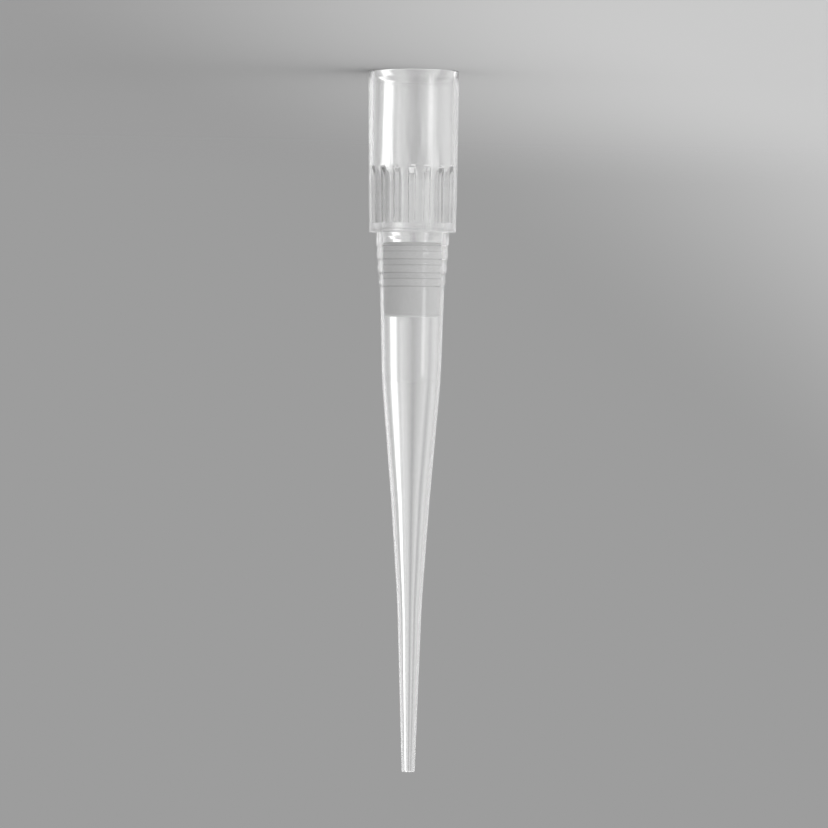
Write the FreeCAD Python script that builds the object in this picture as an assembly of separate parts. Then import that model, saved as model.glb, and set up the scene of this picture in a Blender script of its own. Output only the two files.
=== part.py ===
import FreeCAD, Part
import math
import os

# A 200 microlitre filter pipette tip: one polypropylene moulding with a porous plug pressed into it.
#
# Frame, in millimetres: the tip stands on the rim of its collar. The rim lies in the plane Z = 0, the
# tip's axis is the Z axis, and +Z runs along the tip to its nozzle. Every radius is from that axis.

# ---- Driving dimensions ------------------------------------------------------------------------

TIP_LENGTH = 59.0          # rim to orifice; the nozzle takes what the other lengths leave

# Collar: the wide sleeve that the pipette's cone goes into.
COLLAR_LENGTH = 13.57      # rim to the shoulder's outer face
RIM_WALL = 0.465           # collar wall at the rim
FOOT_WALL = 0.315          # collar wall at the shoulder, so the sleeve tapers outside
LEAD_IN_DEPTH = 0.71       # bevel inside the rim, along the axis
LEAD_IN_WIDTH = 0.13       # the same bevel, across the wall
RIM_ROUND = 0.06           # outer edge of the rim
PARTING_HEIGHT = 1.95      # mould parting line, above the shoulder's outer face
PARTING_STEP = 0.015       # how much smaller the collar is beyond that line

# Seat for the pipette's cone: ribs that centre it, then a plain ring that seals on it.
SEAL_RADIUS = 2.72
SEAL_LENGTH = 0.55         # from the shoulder's inner face to the stop
SHOULDER_THICKNESS = 0.75
RIB_COUNT = 16
RIB_WIDTH = 0.50
RIB_HEIGHT = 0.58          # crest to collar bore
RIB_LENGTH = 4.03          # the stretch at full height
RIB_RAMP = 0.67            # the sloped end that guides the cone in
RIB_CLEARANCE = 0.05       # between the crests and a cone that fills the seal
SOCKET_DRAFT = 0.05        # what the collar's bore loses over the ribs' stretch

# Neck: the stretch between the collar and the barrel, with shallow grooves round its outside.
NECK_LENGTH = 4.57
NECK_WALL = 0.36           # beside the shoulder, over the seal
NECK_BULGE = 0.05          # how far its outside stands over a straight taper, halfway along
NECK_STEP = 0.045          # from the neck down to the barrel
FIRST_BAND = 1.14          # plain band between the shoulder and the first groove
GROOVE_COUNT = 3
GROOVE_WIDTH = 0.52
GROOVE_DEPTH = 0.05

# Stop: the short cone that ends the seal, and the plug's bore behind it.
STOP_STEP = 0.19           # across the wall
STOP_LENGTH = 0.73         # along the axis

# Barrel, two cones and the nozzle. Each has its bore and its wall at the end nearer the orifice.
BARREL_TOP_WALL = 0.276
BARREL_LENGTH = 7.81
BARREL_DRAFT = 0.313       # what the bore loses from the stop to the barrel's end
BARREL_END_WALL = 0.255
UPPER_CONE_LENGTH = 10.01
UPPER_CONE_END_BORE = 1.38
UPPER_CONE_END_WALL = 0.25
LOWER_CONE_LENGTH = 8.85
LOWER_CONE_END_BORE = 0.82
LOWER_CONE_END_WALL = 0.205
ORIFICE_RADIUS = 0.41
ORIFICE_WALL = 0.135
CONE_BLEND = 40.0          # radius of the soft bends between barrel, cones and nozzle

# Plug: a slightly tapered cylinder of sintered plastic that stops liquid and spray.
PLUG_SETBACK = 0.34        # from the stop to the plug's near end
PLUG_LENGTH = 6.21
PLUG_CLEARANCE = 0.0       # it is pressed in until it touches the bore all round
PLUG_EDGE = 0.15           # bevel at both of its ends

ROOT_SINK = 0.10           # how far a rib's root runs into the wall and the shoulder that carry it

# ---- Sizes that follow from them ---------------------------------------------------------------

COLLAR_BORE = SEAL_RADIUS + RIB_CLEARANCE + RIB_HEIGHT
CREST_RADIUS = SEAL_RADIUS + RIB_CLEARANCE
RIM_RADIUS = COLLAR_BORE + RIM_WALL
FOOT_RADIUS = COLLAR_BORE + FOOT_WALL
PLUG_BORE = SEAL_RADIUS - STOP_STEP
BARREL_END_BORE = PLUG_BORE - BARREL_DRAFT

SHOULDER_INNER_Z = COLLAR_LENGTH - SHOULDER_THICKNESS
CREST_START_Z = SHOULDER_INNER_Z - RIB_LENGTH
RIBS_START_Z = CREST_START_Z - RIB_RAMP
PARTING_Z = COLLAR_LENGTH - PARTING_HEIGHT
SEAL_END_Z = SHOULDER_INNER_Z + SEAL_LENGTH
STOP_END_Z = SEAL_END_Z + STOP_LENGTH
NECK_END_Z = COLLAR_LENGTH + NECK_LENGTH
BARREL_END_Z = NECK_END_Z + BARREL_LENGTH
UPPER_CONE_END_Z = BARREL_END_Z + UPPER_CONE_LENGTH
LOWER_CONE_END_Z = UPPER_CONE_END_Z + LOWER_CONE_LENGTH
PLUG_TOP_Z = STOP_END_Z + PLUG_SETBACK
GROOVE_PITCH = (NECK_LENGTH - FIRST_BAND) / GROOVE_COUNT


def along(start, end, z):
    """Radius at height z on the straight line between two (radius, z) points."""
    share = (z - start[1]) / (end[1] - start[1])
    return start[0] + share * (end[0] - start[0])


def collar_radius(z):
    """Outside of the collar, before the parting step."""
    return along((RIM_RADIUS, 0.0), (FOOT_RADIUS, COLLAR_LENGTH), z)


def barrel_bore(z):
    """Bore from the stop to the barrel's end, which also holds the plug."""
    return along((PLUG_BORE, STOP_END_Z), (BARREL_END_BORE, BARREL_END_Z), z)


BARREL_TOP_RADIUS = barrel_bore(NECK_END_Z) + BARREL_TOP_WALL
NECK_TOP = (SEAL_RADIUS + NECK_WALL, COLLAR_LENGTH)
NECK_END = (BARREL_TOP_RADIUS + NECK_STEP, NECK_END_Z)


def neck_radius(z):
    """Outside of the neck over its grooves: a straight taper with a slight bulge."""
    share = (z - COLLAR_LENGTH) / NECK_LENGTH
    return along(NECK_TOP, NECK_END, z) + NECK_BULGE * 4.0 * share * (1.0 - share)


# ---- Shared operations -------------------------------------------------------------------------

def vector(point):
    """A (radius, z) point as a vector in the half plane that is revolved."""
    return FreeCAD.Vector(point[0], 0.0, point[1])


def polyline(points):
    """Straight edges from point to point."""
    return [Part.makeLine(vector(a), vector(b)) for a, b in zip(points, points[1:])]


def blended(points, radius):
    """Edges from point to point, with every inner corner replaced by a tangent arc."""
    edges = []
    last = vector(points[0])
    for before, corner, after in zip(points, points[1:], points[2:]):
        middle = vector(corner)
        back = (vector(before) - middle).normalize()
        onward = (vector(after) - middle).normalize()
        half = back.getAngle(onward) / 2.0
        tangent = radius / math.tan(half)
        inward = (back + onward).normalize()
        arc_start = middle + back * tangent
        arc_middle = middle + inward * (radius / math.sin(half) - radius)
        arc_end = middle + onward * tangent
        edges.append(Part.makeLine(last, arc_start))
        edges.append(Part.Arc(arc_start, arc_middle, arc_end).toShape())
        last = arc_end
    edges.append(Part.makeLine(last, vector(points[-1])))
    return edges


def revolved(edges):
    """Solid swept by a closed outline round the tip's axis."""
    face = Part.Face(Part.Wire(edges))
    return face.revolve(FreeCAD.Vector(0, 0, 0), FreeCAD.Vector(0, 0, 1), 360.0)


def revolved_polygon(points):
    """Solid swept by a polygon of (radius, z) points."""
    return revolved(polyline(points + points[:1]))


# ---- Tip body ----------------------------------------------------------------------------------

def outer_edges():
    """Outside of the moulding, from the rim to the orifice."""
    parting = collar_radius(PARTING_Z)
    collar = [
        (RIM_RADIUS - RIM_ROUND, 0.0),
        (collar_radius(RIM_ROUND), RIM_ROUND),
        (parting, PARTING_Z),
        (parting - PARTING_STEP, PARTING_Z),
        (FOOT_RADIUS - PARTING_STEP, COLLAR_LENGTH),
        NECK_TOP,
    ]
    halfway = (NECK_TOP[1] + NECK_END[1]) / 2.0
    neck = Part.Arc(vector(NECK_TOP), vector((neck_radius(halfway), halfway)), vector(NECK_END))
    shank = [
        (BARREL_TOP_RADIUS, NECK_END_Z),
        (BARREL_END_BORE + BARREL_END_WALL, BARREL_END_Z),
        (UPPER_CONE_END_BORE + UPPER_CONE_END_WALL, UPPER_CONE_END_Z),
        (LOWER_CONE_END_BORE + LOWER_CONE_END_WALL, LOWER_CONE_END_Z),
        (ORIFICE_RADIUS + ORIFICE_WALL, TIP_LENGTH),
    ]
    return polyline(collar) + [neck.toShape()] + polyline([NECK_END, shank[0]]) + blended(shank, CONE_BLEND)


def inner_edges():
    """Inside of the moulding, from the orifice back to the rim."""
    bore = [
        (ORIFICE_RADIUS, TIP_LENGTH),
        (LOWER_CONE_END_BORE, LOWER_CONE_END_Z),
        (UPPER_CONE_END_BORE, UPPER_CONE_END_Z),
        (BARREL_END_BORE, BARREL_END_Z),
        (PLUG_BORE, STOP_END_Z),
    ]
    socket = [
        (PLUG_BORE, STOP_END_Z),
        (SEAL_RADIUS, SEAL_END_Z),
        (SEAL_RADIUS, SHOULDER_INNER_Z),
        (COLLAR_BORE - SOCKET_DRAFT, SHOULDER_INNER_Z),
        (COLLAR_BORE, RIBS_START_Z),
        (COLLAR_BORE, LEAD_IN_DEPTH),
        (COLLAR_BORE + LEAD_IN_WIDTH, 0.0),
    ]
    return blended(bore, CONE_BLEND) + polyline(socket)


def shell():
    """The moulding as one turned form, without its ribs and grooves."""
    outside = outer_edges()
    inside = inner_edges()
    orifice = polyline([(ORIFICE_RADIUS + ORIFICE_WALL, TIP_LENGTH), (ORIFICE_RADIUS, TIP_LENGTH)])
    rim = polyline([(COLLAR_BORE + LEAD_IN_WIDTH, 0.0), (RIM_RADIUS - RIM_ROUND, 0.0)])
    return revolved(outside + orifice + inside + rim)


def neck_grooves():
    """The rings of material that the grooves take out of the neck's outside."""
    grooves = []
    for index in range(GROOVE_COUNT):
        start = COLLAR_LENGTH + FIRST_BAND + index * GROOVE_PITCH
        end = start + GROOVE_WIDTH
        grooves.append(revolved_polygon([
            (neck_radius(start) - GROOVE_DEPTH, start),
            (neck_radius(start) + GROOVE_DEPTH, start),
            (neck_radius(end) + GROOVE_DEPTH, end),
            (neck_radius(end) - GROOVE_DEPTH, end),
        ]))
    return grooves


def rib():
    """One rib inside the collar, at angle zero: a flat crest with a ramp at the end near the rim."""
    root = COLLAR_BORE + ROOT_SINK
    foot = SHOULDER_INNER_Z + ROOT_SINK
    side = [
        (root, RIBS_START_Z),
        (COLLAR_BORE, RIBS_START_Z),
        (CREST_RADIUS, CREST_START_Z),
        (CREST_RADIUS, foot),
        (root, foot),
    ]
    face = Part.Face(Part.Wire(polyline(side + side[:1])))
    face.translate(FreeCAD.Vector(0, -RIB_WIDTH / 2.0, 0))
    return face.extrude(FreeCAD.Vector(0, RIB_WIDTH, 0))


def ribs():
    """The ring of ribs that centres the pipette's cone."""
    ring = []
    for index in range(RIB_COUNT):
        one = rib()
        one.rotate(FreeCAD.Vector(0, 0, 0), FreeCAD.Vector(0, 0, 1), index * 360.0 / RIB_COUNT)
        ring.append(one)
    return ring


def tip_body():
    """The whole moulding."""
    grooved = shell().cut(neck_grooves())
    return grooved.fuse(ribs()).removeSplitter()


# ---- Filter plug -------------------------------------------------------------------------------

def plug_radius(z):
    """The plug takes the bore's own taper."""
    return barrel_bore(z) - PLUG_CLEARANCE


def filter_plug():
    """The porous plug, with a small bevel at each end."""
    top = PLUG_TOP_Z
    end = PLUG_TOP_Z + PLUG_LENGTH
    return revolved_polygon([
        (0.0, top),
        (plug_radius(top) - PLUG_EDGE, top),
        (plug_radius(top + PLUG_EDGE), top + PLUG_EDGE),
        (plug_radius(end - PLUG_EDGE), end - PLUG_EDGE),
        (plug_radius(end) - PLUG_EDGE, end),
        (0.0, end),
    ])


# ---- One file for each piece -------------------------------------------------------------------

def single_solid(shape):
    """The one solid that a shape holds."""
    return shape.Solids[0]


os.makedirs("parts", exist_ok=True)
for name, shape in (("tip_body", tip_body()), ("filter_plug", filter_plug())):
    piece = single_solid(shape)
    piece.exportStep("parts/" + name + ".step")
    print(name, "valid", piece.isValid(), "volume", round(piece.Volume, 3), "mm3")
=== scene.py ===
import math

import bmesh
import bpy
from mathutils import Matrix, Vector


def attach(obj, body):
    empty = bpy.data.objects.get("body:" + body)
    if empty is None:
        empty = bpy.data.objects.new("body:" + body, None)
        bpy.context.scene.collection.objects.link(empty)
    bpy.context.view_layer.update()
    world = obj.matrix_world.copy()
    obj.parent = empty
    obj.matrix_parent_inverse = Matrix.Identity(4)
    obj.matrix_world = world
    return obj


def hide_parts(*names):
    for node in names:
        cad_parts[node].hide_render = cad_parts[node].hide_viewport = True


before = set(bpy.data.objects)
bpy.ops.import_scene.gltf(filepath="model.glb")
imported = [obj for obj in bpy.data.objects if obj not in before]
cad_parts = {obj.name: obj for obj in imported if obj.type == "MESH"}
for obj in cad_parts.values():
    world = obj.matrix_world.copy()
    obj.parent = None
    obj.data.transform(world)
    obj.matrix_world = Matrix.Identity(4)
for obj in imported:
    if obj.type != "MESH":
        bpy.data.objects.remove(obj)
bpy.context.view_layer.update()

# A filter pipette tip that stands on the rim of its collar, nozzle up: one clear moulding and the
# porous plug inside it. Radii and heights are in millimetres from the tip's axis and from the rim.

MM = 0.001

# ---- Sizes of the moulding -----------------------------------------------------------------------

TIP_LENGTH = 59.0
RIM_RADIUS = 3.815
RIM_ROUND = 0.06
COLLAR_BORE = 3.35
LEAD_IN_RADIUS = 3.48
LEAD_IN_DEPTH = 0.71
FOOT_RADIUS = 3.665
COLLAR_LENGTH = 13.57
PARTING_Z = 11.62
PARTING_STEP = 0.02
SECOND_LINE_Z = 12.16
SECOND_LINE_STEP = 0.01

RIB_COUNT = 16
RIB_HEIGHT = 0.58
RIBS_START_Z = 8.12
CREST_START_Z = 8.79
SHOULDER_INNER_Z = 12.82
SOCKET_FOOT_BORE = 3.30
CREST_RADIUS = 2.77
SEAL_RADIUS = 2.72
SEAL_TAPER = 0.07
SEAL_END_Z = 13.37
STOP_END_Z = 14.10
PLUG_BORE = 2.53

NECK_TOP_RADIUS = 3.08
NECK_END_Z = 18.14
NECK_END_RADIUS = 2.7443
NECK_BULGE = 0.05
GROOVE_STARTS = (14.71, 15.853, 16.997)
GROOVE_WIDTH = 0.52
FIRST_BAND_Z = COLLAR_LENGTH + 0.08      # where the neck's top band starts
GROOVE_DEPTH = 0.05
BAND_CROWN = 0.006

BARREL_TOP_RADIUS = 2.6993
BARREL_END_Z = 25.95
BARREL_END_BORE = 2.217
BARREL_END_RADIUS = 2.472
UPPER_CONE_END_Z = 35.96
UPPER_CONE_END_BORE = 1.38
UPPER_CONE_END_RADIUS = 1.63
LOWER_CONE_END_Z = 44.81
LOWER_CONE_END_BORE = 0.82
LOWER_CONE_END_RADIUS = 1.025
ORIFICE_RADIUS = 0.41
NOZZLE_RADIUS = 0.545
CONE_BLEND = 40.0

PLUG_TOP_Z = 14.44
PLUG_END_Z = 20.65
PLUG_EDGE = 0.15
PLUG_GAP = 0.008           # film of air between the wall and the plug's grains
PLUG_GRAIN = 0.125

# Half a rib's section, from the middle of its crest to the middle of the gap beside it:
# (distance to the side, height over the wall). Crest, rounded edge, flank, root fillet, wall.
RIB_SECTION = (
    (0.0, 0.580), (0.085, 0.580), (0.170, 0.580), (0.210, 0.569), (0.239, 0.540), (0.250, 0.500),
    (0.250, 0.080), (0.261, 0.040), (0.290, 0.011), (0.330, 0.0), (0.440, 0.0), (0.550, 0.0),
    (0.6578, 0.0),
)
FOOT_INDEX = 9             # where the root fillet meets the wall
RAMP_ROUND = 0.22
# Heights of the rows of the ribbed wall, closest where a ramp's ends are rounded.
RAMP_ROWS = (12.0, 11.0, 10.0, 9.3, 9.01, 8.95, 8.89, 8.83, 8.77, 8.71, 8.64, 8.57, 8.45, 8.34,
             8.27, 8.20, 8.13, 8.06, 7.98, 7.90)
STEPS_PER_PITCH = 2 * (len(RIB_SECTION) - 1)


def on_line(start, end, z):
    """Radius at height z on the straight line between two (radius, z) points."""
    share = (z - start[1]) / (end[1] - start[1])
    return start[0] + share * (end[0] - start[0])


def neck_radius(z):
    """Outside of the neck over its grooves: a straight taper with a slight bulge."""
    share = (z - COLLAR_LENGTH) / (NECK_END_Z - COLLAR_LENGTH)
    straight = on_line((NECK_TOP_RADIUS, COLLAR_LENGTH), (NECK_END_RADIUS, NECK_END_Z), z)
    return straight + NECK_BULGE * 4.0 * share * (1.0 - share)


def barrel_bore(z):
    return on_line((PLUG_BORE, STOP_END_Z), (BARREL_END_BORE, BARREL_END_Z), z)


# ---- Mesh helpers --------------------------------------------------------------------------------

def outline(bm, corners, closed):
    """Wire in the plane Y = 0. Each corner is (radius, z, rounding), rounding being how far from
    the corner its curve starts."""
    verts = [bm.verts.new((r * MM, 0.0, z * MM)) for r, z, _ in corners]
    for a, b in zip(verts, verts[1:]):
        bm.edges.new((a, b))
    if closed:
        bm.edges.new((verts[-1], verts[0]))
    for vert, (_, _, rounding) in zip(verts, corners):
        if rounding:
            bmesh.ops.bevel(bm, geom=[vert], offset=rounding * MM, offset_type="OFFSET",
                            segments=5 if rounding > 0.5 else 3, profile=0.5,
                            affect="VERTICES", material=-1)


def bend_at(vert):
    """How far the wire turns at one of its points, in degrees."""
    if len(vert.link_edges) != 2:
        return 90.0
    a, b = [edge.other_vert(vert).co - vert.co for edge in vert.link_edges]
    return 180.0 - math.degrees(a.angle(b))


def divide(bm, longest, margin):
    """Divides the wire's long edges, with a short margin next to each bend so that the shading of
    the bend doesn't spread over the plain wall beside it. Both lengths are in millimetres."""
    for edge in list(bm.edges):
        if abs(edge.verts[0].co.z - edge.verts[1].co.z) < 0.001 * MM:
            continue
        ends = [v for v in edge.verts if bend_at(v) > 3.0]
        for end in ends:
            length = edge.calc_length() / MM
            if length > 3.0 * margin:
                _, middle = bmesh.utils.edge_split(edge, end, margin / length)
                edge = next(e for e in middle.link_edges if end not in e.verts)
        cuts = int(edge.calc_length() / (longest * MM))
        if cuts:
            bmesh.ops.subdivide_edges(bm, edges=[edge], cuts=cuts)


def turn(bm, sectors, steps, shape=None):
    """Spins the wire in bm through one sector, lets shape work on it, then repeats the sector all
    round the axis and joins the sectors and the poles."""
    sector = 2.0 * math.pi / sectors
    bmesh.ops.rotate(bm, verts=list(bm.verts), cent=(0, 0, 0),
                     matrix=Matrix.Rotation(-sector / 2.0, 3, "Z"))
    bmesh.ops.spin(bm, geom=list(bm.verts) + list(bm.edges), cent=(0, 0, 0), axis=(0, 0, 1),
                   angle=sector, steps=steps)
    if shape:
        shape(bm)
    bmesh.ops.spin(bm, geom=list(bm.verts) + list(bm.edges) + list(bm.faces), cent=(0, 0, 0),
                   axis=(0, 0, 1), angle=2.0 * math.pi - sector, steps=sectors - 1,
                   use_duplicate=True)
    bmesh.ops.remove_doubles(bm, verts=list(bm.verts), dist=0.0003 * MM)


def finished(bm, name, material, sharp_angle):
    """Closes the mesh work: outward faces, smooth shading and an object at the origin."""
    bmesh.ops.recalc_face_normals(bm, faces=list(bm.faces))
    mesh = bpy.data.meshes.new(name)
    bm.to_mesh(mesh)
    bm.free()
    mesh.polygons.foreach_set("use_smooth", [True] * len(mesh.polygons))
    mesh.set_sharp_from_angle(angle=math.radians(sharp_angle))
    mesh.materials.append(material)
    piece = bpy.data.objects.new(name, mesh)
    bpy.context.collection.objects.link(piece)
    return piece


def blend_reach(before, corner, after):
    """How far from a corner the shank's bend of radius CONE_BLEND starts."""
    a = Vector(before) - Vector(corner)
    b = Vector(after) - Vector(corner)
    return CONE_BLEND / math.tan(a.angle(b) / 2.0)


# ---- Tip body ------------------------------------------------------------------------------------

def shank_corners(points):
    """Inner corners of the outline with the reach of their bends."""
    return [(p[0], p[1], blend_reach(a, p, b)) for a, p, b in zip(points, points[1:], points[2:])]


def band(start, end):
    """Points of the slightly crowned stretch between two grooves of the neck."""
    rows = [start + (end - start) * share for share in (0.2, 0.4, 0.6, 0.8)]
    half = (end - start) / 2.0
    return [(neck_radius(z) + BAND_CROWN * (1.0 - ((z - start) / half - 1.0) ** 2), z, 0.0)
            for z in rows]


def body_corners():
    parting = on_line((RIM_RADIUS, 0.0), (FOOT_RADIUS, COLLAR_LENGTH), PARTING_Z)
    second = on_line((RIM_RADIUS, 0.0), (FOOT_RADIUS, COLLAR_LENGTH), SECOND_LINE_Z) - PARTING_STEP
    corners = [
        (RIM_RADIUS, 0.0, RIM_ROUND),
        (parting, PARTING_Z - 0.03, 0.02),
        (parting - PARTING_STEP, PARTING_Z + 0.01, 0.02),
        (second, SECOND_LINE_Z - 0.02, 0.01),
        (second - SECOND_LINE_STEP, SECOND_LINE_Z + 0.01, 0.01),
        (FOOT_RADIUS - PARTING_STEP, COLLAR_LENGTH, 0.07),
        (NECK_TOP_RADIUS, COLLAR_LENGTH, 0.05),
    ]
    band_start = FIRST_BAND_Z
    for start in GROOVE_STARTS:
        end = start + GROOVE_WIDTH
        corners += band(band_start, start)
        corners += [
            (neck_radius(start), start - 0.01, 0.03),
            (neck_radius(start) - GROOVE_DEPTH, start + 0.03, 0.02),
            (neck_radius(end) - GROOVE_DEPTH, end - 0.06, 0.05),
            (neck_radius(end), end + 0.02, 0.04),
        ]
        band_start = end
    corners += band(band_start, NECK_END_Z)
    shank = [
        (BARREL_TOP_RADIUS, NECK_END_Z + 0.03),
        (BARREL_END_RADIUS, BARREL_END_Z),
        (UPPER_CONE_END_RADIUS, UPPER_CONE_END_Z),
        (LOWER_CONE_END_RADIUS, LOWER_CONE_END_Z),
        (NOZZLE_RADIUS, TIP_LENGTH),
    ]
    corners += [(NECK_END_RADIUS, NECK_END_Z, 0.015), (shank[0][0], shank[0][1], 0.015)]
    corners += shank_corners(shank) + [(NOZZLE_RADIUS, TIP_LENGTH, 0.05)]
    bore = [
        (ORIFICE_RADIUS, TIP_LENGTH),
        (LOWER_CONE_END_BORE, LOWER_CONE_END_Z),
        (UPPER_CONE_END_BORE, UPPER_CONE_END_Z),
        (BARREL_END_BORE, BARREL_END_Z),
        (PLUG_BORE, STOP_END_Z),
    ]
    corners += [(ORIFICE_RADIUS, TIP_LENGTH, 0.03)] + shank_corners(bore)
    corners += [
        (PLUG_BORE, STOP_END_Z, 0.06),
        (SEAL_RADIUS - SEAL_TAPER, SEAL_END_Z, 0.06),
        (SEAL_RADIUS, SHOULDER_INNER_Z, 0.0),
        (CREST_RADIUS, SHOULDER_INNER_Z, 0.0),
        (SOCKET_FOOT_BORE, SHOULDER_INNER_Z, 0.0),
    ]
    corners += [(socket_bore(z), z, 0.0) for z in RAMP_ROWS]
    corners += [
        (COLLAR_BORE, LEAD_IN_DEPTH, 0.12),
        (LEAD_IN_RADIUS, 0.0, 0.04),
    ]
    return corners


def socket_bore(z):
    """Plain wall behind the ribs."""
    if z <= RIBS_START_Z:
        return COLLAR_BORE
    return on_line((COLLAR_BORE, RIBS_START_Z), (SOCKET_FOOT_BORE, SHOULDER_INNER_Z), z)


def ramp_rise(z):
    """Share of a rib's height at z: a straight ramp with a rounded foot and a rounded top."""
    def rounded(distance):
        if distance <= -RAMP_ROUND:
            return 0.0
        if distance >= RAMP_ROUND:
            return distance
        return (distance + RAMP_ROUND) ** 2 / (4.0 * RAMP_ROUND)
    return (rounded(z - RIBS_START_Z) - rounded(z - CREST_START_Z)) / (CREST_START_Z - RIBS_START_Z)


def raise_rib(bm):
    """Pushes one sector's rib out of the plain bore: a ramp, a flat crest and rounded edges."""
    pitch = 2.0 * math.pi / RIB_COUNT
    flank = RIB_SECTION[FOOT_INDEX][0]
    for vert in bm.verts:
        z = vert.co.z / MM
        if not RIBS_START_Z - RAMP_ROUND - 0.001 < z < SHOULDER_INNER_Z + 0.001:
            continue
        radius = math.hypot(vert.co.x, vert.co.y) / MM
        on_wall = abs(radius - socket_bore(z)) < 0.002
        on_web = abs(z - SHOULDER_INNER_Z) < 0.001 and abs(radius - CREST_RADIUS) < 0.002
        if not (on_wall or on_web):
            continue
        away = round(math.atan2(vert.co.y, vert.co.x) / pitch * STEPS_PER_PITCH)
        side, height = RIB_SECTION[abs(away)]
        lift = height * ramp_rise(z) * (socket_bore(z) - CREST_RADIUS) / RIB_HEIGHT
        reach = CREST_RADIUS if on_web else socket_bore(z) - lift
        turned = math.asin(min(side, flank) / reach)
        turned += (pitch / 2.0 - turned) * max(0.0, side - flank) / (RIB_SECTION[-1][0] - flank)
        turned = math.copysign(turned, away)
        vert.co.x = reach * MM * math.cos(turned)
        vert.co.y = reach * MM * math.sin(turned)
    bmesh.ops.remove_doubles(bm, verts=list(bm.verts), dist=0.0003 * MM)


def make_tip_body(wall, thick, fine):
    """The moulding. Its ribs and shoulder are thick, so they cooled slowly and are milkier; the
    cones below the barrel are thin and the clearest."""
    bm = bmesh.new()
    outline(bm, body_corners(), closed=True)
    divide(bm, longest=2.5, margin=0.05)
    turn(bm, sectors=RIB_COUNT, steps=STEPS_PER_PITCH, shape=raise_rib)
    piece = finished(bm, "clear_tip", wall, sharp_angle=40.0)
    piece.data.materials.append(thick)
    piece.data.materials.append(fine)
    for face in piece.data.polygons:
        z = face.center.z / MM
        if RIBS_START_Z < z < COLLAR_LENGTH:
            face.material_index = 1
        elif z > BARREL_END_Z:
            face.material_index = 2
    return piece


# ---- Filter plug ---------------------------------------------------------------------------------

def make_plug(material):
    def radius(z):
        return barrel_bore(z) - PLUG_GAP
    bm = bmesh.new()
    outline(bm, [
        (0.0, PLUG_TOP_Z, 0.0),
        (radius(PLUG_TOP_Z) - PLUG_EDGE, PLUG_TOP_Z, 0.02),
        (radius(PLUG_TOP_Z + PLUG_EDGE), PLUG_TOP_Z + PLUG_EDGE, 0.02),
        (radius(PLUG_END_Z - PLUG_EDGE), PLUG_END_Z - PLUG_EDGE, 0.02),
        (radius(PLUG_END_Z) - PLUG_EDGE, PLUG_END_Z, 0.02),
        (0.0, PLUG_END_Z, 0.0),
    ], closed=False)
    divide(bm, longest=0.4, margin=0.05)
    turn(bm, sectors=12, steps=12)
    return finished(bm, "porous_plug", material, sharp_angle=60.0)


# ---- Materials -----------------------------------------------------------------------------------

def colour(code):
    """An sRGB hex value as linear red, green, blue and alpha."""
    parts = [int(code[i:i + 2], 16) / 255.0 for i in (1, 3, 5)]
    linear = [p / 12.92 if p <= 0.04045 else ((p + 0.055) / 1.055) ** 2.4 for p in parts]
    return tuple(linear) + (1.0,)


def add(tree, kind, settings=None, **inputs):
    """Adds one node. settings are its own properties. inputs are values or output sockets, by the
    input's name, or by its number as in i0."""
    node = tree.nodes.new(kind)
    for name, value in (settings or {}).items():
        setattr(node, name, value)
    for name, value in inputs.items():
        key = int(name[1:]) if name[1:].isdigit() else name.replace("_", " ")
        socket = node.inputs[key]
        if isinstance(value, bpy.types.NodeSocket):
            tree.links.new(value, socket)
        else:
            socket.default_value = value
    return node


def new_material(name):
    material = bpy.data.materials.new(name)
    material.use_nodes = True
    material.node_tree.nodes.clear()
    return material, material.node_tree


# Painted shade: fine greyish lines on the clear plastic, at the small steps where two parts of the
# mould met and at each edge of a groove, stand in for the shade these steps cast: (height, tone).
# A line fades out over LINE_REACH to both sides.
CLEAR_TONE = "#F6F6F6"
PAINTED_SHADE_LINES = [(PARTING_Z, "#E4E4E4"), (SECOND_LINE_Z, "#EAEAEA")]
for groove_start in GROOVE_STARTS:
    PAINTED_SHADE_LINES += [(groove_start, "#BEBEBE"), (groove_start + GROOVE_WIDTH, "#D6D6D6")]
PAINTED_SHADE_LINES += [(NECK_END_Z, "#BEBEBE")]
LINE_REACH = 0.05


def moulded_polypropylene(name, clearness, roughness):
    """Natural polypropylene, injection moulded against polished steel: glossy, clear in a thin
    wall but milky, because its crystals scatter light. Faint flow marks, about 1 mm apart, run
    along the tip."""
    material, tree = new_material(name)
    place = add(tree, "ShaderNodeTexCoord").outputs["Object"]
    along = add(tree, "ShaderNodeMapping", i0=place, Scale=(1.0, 1.0, 0.03)).outputs[0]
    flow = add(tree, "ShaderNodeTexNoise", Vector=along, Scale=900.0, Detail=3.0, Roughness=0.5)
    bump = add(tree, "ShaderNodeBump", Strength=0.025, Distance=0.01 * MM, Height=flow.outputs["Fac"])
    height = add(tree, "ShaderNodeSeparateXYZ", i0=place).outputs["Z"]
    # The base colour carries the painted shade lines: a darker grey at each step's height.
    first, last = PAINTED_SHADE_LINES[0][0] - 1.0, PAINTED_SHADE_LINES[-1][0] + 1.0
    share = add(tree, "ShaderNodeMapRange", i0=height, i1=first * MM, i2=last * MM, i3=0.0, i4=1.0)
    shade_lines = add(tree, "ShaderNodeValToRGB", Fac=share.outputs[0])
    stops = shade_lines.color_ramp.elements
    stops[0].color = stops[1].color = colour(CLEAR_TONE)
    for z, tone in PAINTED_SHADE_LINES:
        for offset, code in ((-LINE_REACH, CLEAR_TONE), (0.0, tone), (LINE_REACH, CLEAR_TONE)):
            stops.new((z + offset - first) / (last - first)).color = colour(code)
    shader = add(tree, "ShaderNodeBsdfPrincipled", Base_Color=shade_lines.outputs[0],
                 Roughness=roughness, IOR=1.49, Transmission_Weight=clearness,
                 Normal=bump.outputs[0])
    add(tree, "ShaderNodeOutputMaterial", Surface=shader.outputs[0])
    return material


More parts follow.
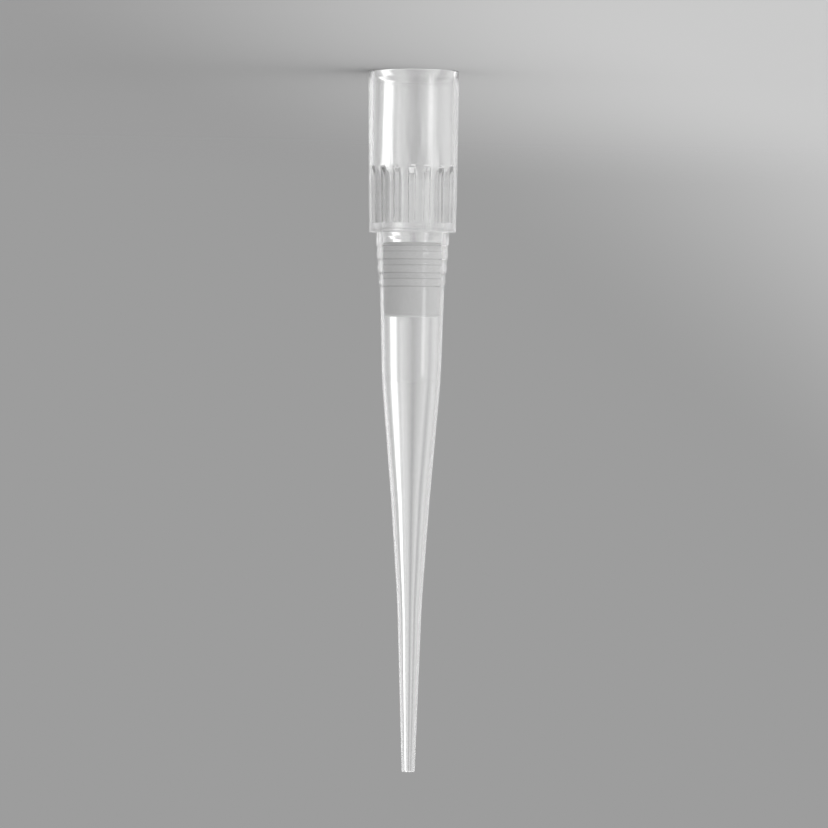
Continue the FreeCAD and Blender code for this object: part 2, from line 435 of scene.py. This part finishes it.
def sintered_polyethylene():
    """Polyethylene grains about 0.12 mm across, sintered in a mould until they just join: matte
    white, with painted shade that makes the pore spaces between the grains a little darker."""
    material, tree = new_material("porous_polyethylene_sintered")
    place = add(tree, "ShaderNodeTexCoord").outputs["Object"]
    grain = add(tree, "ShaderNodeTexVoronoi", {"feature": "F1"}, Vector=place,
                Scale=1.0 / (PLUG_GRAIN * MM))
    # Painted shade: the colour is darker between the grains, where shade falls into the pore spaces.
    painted_pore_shade = add(tree, "ShaderNodeValToRGB", Fac=grain.outputs["Distance"])
    painted_pore_shade.color_ramp.elements[0].color = colour("#ECECEC")
    painted_pore_shade.color_ramp.elements[1].color = colour("#E0E0E0")
    painted_pore_shade.color_ramp.elements[0].position = 0.35
    painted_pore_shade.color_ramp.elements[1].position = 0.95
    bump = add(tree, "ShaderNodeBump", {"invert": True}, Strength=0.3, Distance=0.02 * MM,
               Height=grain.outputs["Distance"])
    shader = add(tree, "ShaderNodeBsdfPrincipled", Base_Color=painted_pore_shade.outputs[0], Roughness=0.9,
                 IOR=1.51, Normal=bump.outputs[0])
    add(tree, "ShaderNodeOutputMaterial", Surface=shader.outputs[0])
    return material


# ---- The pieces ----------------------------------------------------------------------------------

tip = make_tip_body(moulded_polypropylene("natural_polypropylene_wall", 0.92, 0.05),
                    moulded_polypropylene("natural_polypropylene_thick", 0.82, 0.12),
                    moulded_polypropylene("natural_polypropylene_fine", 0.96, 0.05))
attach(tip, "root")
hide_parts("tip_body")

plug = make_plug(sintered_polyethylene())
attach(plug, "root")
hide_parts("filter_plug")

# ---- Studio --------------------------------------------------------------------------------------

CAMERA_DISTANCE = 490.0    # from the middle of the tip

# One pale grey sweep of paper, a little brighter to one side: that is painted light, as if the
# lamps lit that side more. Its two tones, painted shade and painted light, and the stretch of
# direction over which the one turns into the other.
PAPER_PAINTED_SHADE = colour("#848484")
PAPER_PAINTED_LIGHT = colour("#ACACAC")
PAPER_SLOPE = (-0.63, 0.0, -0.777)
PAPER_FROM, PAPER_TO = 0.0137, 0.0823
PAPER_LIT = 1.46           # how brightly the lamps light the paper

# The floor's tones meet the paper's for an eye at the camera's distance and at this height.
EYE_HEIGHT = 29.987
# How far from the tip the floor starts to give way to the paper, and how far off it is gone: for
# the eye, and for gloss and clear plastic. They see part of the paper even beside the tip, so that
# the floor inside the collar is about as light as the floor around it.
FLOOR_FOR_EYE = (30.0, 250.0)
FLOOR_FOR_PLASTIC = (8.0, 30.0)
PAPER_BESIDE_TIP = 0.45

# What the lamps add to the paper going round the tip: (angle from the camera in degrees,
# radiance). Level with the tip stand soft boxes and white cards with gaps between them; overhead
# and near the table the light is broader. The rings above and below fade into the middle one.
LEVEL_RING = (
    (-180, 0.34), (-179.3, 0.64), (-178.7, 0.56), (-177.8, 0.09), (-176.8, 0.15), (-174.5, 0.22),
    (-172.5, 0.26), (-168, 0.18), (-162, 0), (-152.5, 0.28), (-134, 0.02), (-124, 0.24),
    (-115, 0.32), (-8, 0.26), (-1, 0.52), (38, 0.5), (48, 0.26), (74, 0.36), (124, 0.38),
    (133, 0.32), (141, 0.56), (147, 0.96), (152.5, 0.76), (161, 0.23), (167, 0.21), (170, 0.46),
    (175.8, 0.42), (176.6, 0.66), (177.2, 0.48), (178, 0.08), (179, 0.06), (180, 0.34),
)
OVERHEAD_RING = (
    (-180, 1.06), (-160, 1.7), (-10, 1.7), (10, 0.76), (80, 0.76), (100, 0.46), (165, 0.46),
    (180, 1.06),
)
TABLE_RING = ((-180, 0.05), (-165, 0.25), (-15, 0.25), (15, 0.11), (165, 0.11), (180, 0.05))
# Degrees over the horizon between which the table's ring turns into the level one, and the level
# one into the one overhead.
RING_HEIGHTS = (-19.0, -15.0, 15.0, 19.0)
# White cards in front of the boxes: (left side, right side, how soft the sides are, foot, top,
# how many degrees the part over the horizon leans to a side for each degree of height, added
# radiance). The angles are degrees.
CARDS = (
    (171.6, 175.2, 0.6, -16.0, 0.0, 0.0, 1.15),
    (171.6, 175.2, 0.6, 0.0, 4.8, 1.4, 1.15),
    (171.6, 175.2, 0.6, 2.2, 4.8, 0.5, 0.7),
    (171.6, 175.2, 0.6, 4.8, 16.0, 0.0, 1.15),
    (-54.0, -40.0, 3.0, -12.0, 5.0, 0.0, 2.2),
)


def paper_tone(tree, along):
    """Colour of the paper, with its painted light, for a place along its slope."""
    share = add(tree, "ShaderNodeMapRange", {"interpolation_type": "SMOOTHSTEP"}, i0=along,
                i1=PAPER_FROM, i2=PAPER_TO, i3=0.0, i4=1.0)
    return add(tree, "ShaderNodeMix", {"data_type": "RGBA"}, i0=share.outputs[0], i6=PAPER_PAINTED_SHADE,
               i7=PAPER_PAINTED_LIGHT).outputs[2]


def studio_floor():
    """The floor keeps the tip's shadow near it. Farther off, the eye, gloss and clear plastic look
    through it at the same paper, so that there is no horizon."""
    material, tree = new_material("studio_paper_matte")
    place = add(tree, "ShaderNodeTexCoord").outputs["Object"]
    parts = add(tree, "ShaderNodeSeparateXYZ", i0=place)
    rise = add(tree, "ShaderNodeMath", {"operation": "MULTIPLY_ADD"}, i0=parts.outputs["X"],
               i1=PAPER_SLOPE[0], i2=-PAPER_SLOPE[2] * EYE_HEIGHT * MM)
    far_off = add(tree, "ShaderNodeMath", {"operation": "ADD"}, i0=parts.outputs["Y"],
                  i1=CAMERA_DISTANCE * MM)
    along = add(tree, "ShaderNodeMath", {"operation": "DIVIDE"}, i0=rise.outputs[0],
                i1=far_off.outputs[0])
    # The floor's colour carries the paper's painted light, brighter to one side.
    paper = add(tree, "ShaderNodeBsdfDiffuse", Color=paper_tone(tree, along.outputs[0]))
    through = add(tree, "ShaderNodeBsdfTransparent")
    away = add(tree, "ShaderNodeVectorMath", {"operation": "LENGTH"}, i0=place).outputs["Value"]
    near, gone = (distance * MM for distance in FLOOR_FOR_EYE)
    for_eye = add(tree, "ShaderNodeMapRange", {"interpolation_type": "SMOOTHSTEP"}, i0=away,
                  i1=near, i2=gone, i3=0.0, i4=1.0)
    near, gone = (distance * MM for distance in FLOOR_FOR_PLASTIC)
    for_plastic = add(tree, "ShaderNodeMapRange", {"interpolation_type": "SMOOTHSTEP"}, i0=away,
                      i1=near, i2=gone, i3=PAPER_BESIDE_TIP, i4=1.0)
    path = add(tree, "ShaderNodeLightPath")
    plastic = add(tree, "ShaderNodeMath", {"operation": "MAXIMUM"},
                  i0=path.outputs["Is Glossy Ray"], i1=path.outputs["Is Transmission Ray"])
    given_way = add(tree, "ShaderNodeMath", {"operation": "MULTIPLY"}, i0=for_eye.outputs[0],
                    i1=path.outputs["Is Camera Ray"])
    given_way = add(tree, "ShaderNodeMath", {"operation": "MULTIPLY_ADD"},
                    i0=for_plastic.outputs[0], i1=plastic.outputs[0], i2=given_way.outputs[0])
    mixed = add(tree, "ShaderNodeMixShader", i0=given_way.outputs[0], i1=paper.outputs[0],
                i2=through.outputs[0])
    add(tree, "ShaderNodeOutputMaterial", Surface=mixed.outputs[0])
    bm = bmesh.new()
    bmesh.ops.create_circle(bm, cap_ends=True, segments=96, radius=6.0)
    floor = finished(bm, "floor", material, sharp_angle=30.0)


def ring(tree, share, levels):
    """Radiance round one ring. share runs from 0 to 1 as the angle runs from -180 to 180."""
    peak = max(level for _, level in levels)
    ramp = add(tree, "ShaderNodeValToRGB", Fac=share)
    stops = ramp.color_ramp.elements
    while len(stops) < len(levels):
        stops.new(1.0)
    for stop, (angle, level) in zip(stops, levels):
        stop.position = (angle + 180.0) / 360.0
        stop.color = (level / peak,) * 3 + (1.0,)
    return add(tree, "ShaderNodeMath", {"operation": "MULTIPLY"}, i0=ramp.outputs["Color"],
               i1=peak).outputs[0]


def rising(tree, rise, start, end):
    """Goes from 0 to 1 as the angle over the horizon goes from start to end, in degrees."""
    return add(tree, "ShaderNodeMapRange", {"interpolation_type": "SMOOTHSTEP"}, i0=rise,
               i1=math.radians(start), i2=math.radians(end), i3=0.0, i4=1.0).outputs[0]


def blended(tree, share, first, second):
    return add(tree, "ShaderNodeMix", {"data_type": "FLOAT"}, i0=share, i2=first,
               i3=second).outputs[0]


def studio_light():
    """The paper, which the eye, gloss and clear plastic all see, and the lamps in front of it,
    which are hidden from the eye only."""
    world = bpy.data.worlds.new("soft_studio")
    bpy.context.scene.world = world
    world.use_nodes = True
    tree = world.node_tree
    tree.nodes.clear()
    way = add(tree, "ShaderNodeTexCoord").outputs["Generated"]
    parts = add(tree, "ShaderNodeSeparateXYZ", i0=way)
    behind = add(tree, "ShaderNodeMath", {"operation": "MULTIPLY"}, i0=parts.outputs["Y"], i1=-1.0)
    round_about = add(tree, "ShaderNodeMath", {"operation": "ARCTAN2"}, i0=parts.outputs["X"],
                      i1=behind.outputs[0])
    rise = add(tree, "ShaderNodeMath", {"operation": "ARCSINE"}, i0=parts.outputs["Z"])
    share = add(tree, "ShaderNodeMapRange", i0=round_about.outputs[0], i1=-math.pi, i2=math.pi,
                i3=0.0, i4=1.0).outputs[0]
    foot, bottom, top, edge = RING_HEIGHTS
    level = blended(tree, rising(tree, rise.outputs[0], foot, bottom),
                    ring(tree, share, TABLE_RING), ring(tree, share, LEVEL_RING))
    level = blended(tree, rising(tree, rise.outputs[0], top, edge), level,
                    ring(tree, share, OVERHEAD_RING))
    height = add(tree, "ShaderNodeMath", {"operation": "MAXIMUM"}, i0=rise.outputs[0], i1=0.0)
    for left, side, soft, foot, top, lean, added in CARDS:
        across = add(tree, "ShaderNodeMath", {"operation": "MULTIPLY_ADD"}, i0=height.outputs[0],
                     i1=lean, i2=round_about.outputs[0]).outputs[0]
        card = rising(tree, across, left - soft, left + soft)
        for angle, start, end in ((across, side + soft, side - soft),
                                  (rise.outputs[0], foot - 1.0, foot + 1.0),
                                  (rise.outputs[0], top + 1.0, top - 1.0)):
            card = add(tree, "ShaderNodeMath", {"operation": "MULTIPLY"}, i0=card,
                       i1=rising(tree, angle, start, end)).outputs[0]
        level = add(tree, "ShaderNodeMath", {"operation": "MULTIPLY_ADD"}, i0=card, i1=added,
                    i2=level).outputs[0]
    path = add(tree, "ShaderNodeLightPath")
    hidden = add(tree, "ShaderNodeMath", {"operation": "SUBTRACT"}, i0=1.0,
                 i1=path.outputs["Is Camera Ray"])
    level = add(tree, "ShaderNodeMath", {"operation": "MULTIPLY"}, i0=level, i1=hidden.outputs[0])
    lamps = add(tree, "ShaderNodeBackground", Color=colour("#FFFFFF"), Strength=level.outputs[0])
    # The paper seen in the world carries the same painted light, brighter to one side.
    along = add(tree, "ShaderNodeVectorMath", {"operation": "DOT_PRODUCT"}, i0=way, i1=PAPER_SLOPE)
    paper = add(tree, "ShaderNodeBackground", Color=paper_tone(tree, along.outputs["Value"]),
                Strength=PAPER_LIT)
    both = add(tree, "ShaderNodeAddShader", i0=paper.outputs[0], i1=lamps.outputs[0])
    add(tree, "ShaderNodeOutputWorld", Surface=both.outputs[0])


studio_floor()
studio_light()

# ---- Camera --------------------------------------------------------------------------------------

VIEW_HEIGHT = 69.75        # of the tip's plane that the view takes in
CAMERA_TURN = math.radians(-1.6)
CAMERA_ROLL = math.radians(180.47)
AIM_SIDE, AIM_UP = 0.25, 0.634

middle = Vector((0.0, 0.0, TIP_LENGTH / 2.0))
level_right = Vector((math.cos(CAMERA_TURN), math.sin(CAMERA_TURN), 0.0))
back = Vector((math.sin(CAMERA_TURN), -math.cos(CAMERA_TURN), 0.0))
upright = Vector((0.0, 0.0, 1.0))
right = level_right * math.cos(CAMERA_ROLL) + upright * math.sin(CAMERA_ROLL)
up = upright * math.cos(CAMERA_ROLL) - level_right * math.sin(CAMERA_ROLL)
aim = middle + right * AIM_SIDE + up * AIM_UP

lens = bpy.data.cameras.new("camera")
lens.sensor_width = 36.0
lens.lens = lens.sensor_width * CAMERA_DISTANCE / VIEW_HEIGHT
lens.clip_start = 0.01
lens.clip_end = 20.0
camera = bpy.data.objects.new("camera", lens)
bpy.context.collection.objects.link(camera)
camera.matrix_world = Matrix.Translation((aim + back * CAMERA_DISTANCE) * MM) @ Matrix(
    (right, up, back)).transposed().to_4x4()
bpy.context.scene.camera = camera

bpy.context.scene.view_settings.view_transform = "Standard"
